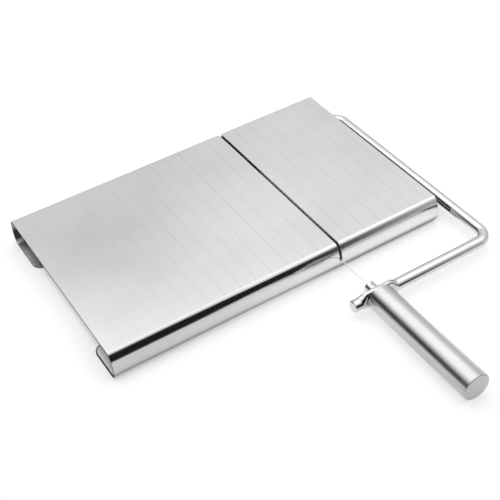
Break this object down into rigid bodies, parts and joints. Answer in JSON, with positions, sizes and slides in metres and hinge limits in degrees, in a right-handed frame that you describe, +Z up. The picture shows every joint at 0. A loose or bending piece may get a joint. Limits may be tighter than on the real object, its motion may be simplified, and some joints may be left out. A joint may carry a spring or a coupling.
{
  "type": "wire cheese slicer board",
  "caption": "Folded steel board with a slot and a hinged bow that holds a cutting wire, tensioned by its screw-on handle.",
  "frame": {"origin": "on the table under the middle of the whole object's outline, with the bow closed", "axes": "+X along the board to the end that the bow's arm passes, +Y to the rear, away from the handle, +Z up"},
  "size_m": [0.2246, 0.2478, 0.0181],
  "materials": {
    "brushed_steel": "brushed along the board",
    "satin_steel": "satin",
    "polished_steel": "polished stainless steel",
    "wire_steel": "drawn stainless steel wire",
    "spring_steel": "plain spring steel",
    "brass": "turned"
  },
  "bodies": {
    "board": {"board_plate": "brushed_steel", "hinge_lug_inner": "brushed_steel", "hinge_lug_outer": "brushed_steel"},
    "bow": {"bow_rod": "polished_steel", "axle_ring_inner": "spring_steel", "axle_ring_outer": "spring_steel"},
    "tensioner": {"tension_stud": "polished_steel", "cutting_wire": "wire_steel", "wire_barrel_front": "brass", "wire_barrel_rear": "brass"},
    "handle": {"handle_grip": "satin_steel", "handle_thread_insert": "brass"}
  },
  "joints": [
    {"name": "bow_hinge", "type": "hinge", "parent": "board", "child": "bow", "pos_m": [0.03032, 0.10175, 0.0083], "axis": [-1, 0, 0], "range_deg": [0, 180]},
    {"name": "handle_spin", "type": "hinge", "parent": "bow", "child": "handle", "pos_m": [0.03032, -0.04645, 0.0083], "axis": [0, -1, 0], "range_deg": [0, 1080]},
    {"name": "stud_slide", "type": "slide", "parent": "bow", "child": "tensioner", "axis": [0, 1, 0], "range_m": [0, 0.0024]}
  ],
  "couplings": [
    {"joint": "stud_slide", "follows": "handle_spin", "m_per_rad": 0.0001273}
  ]
}
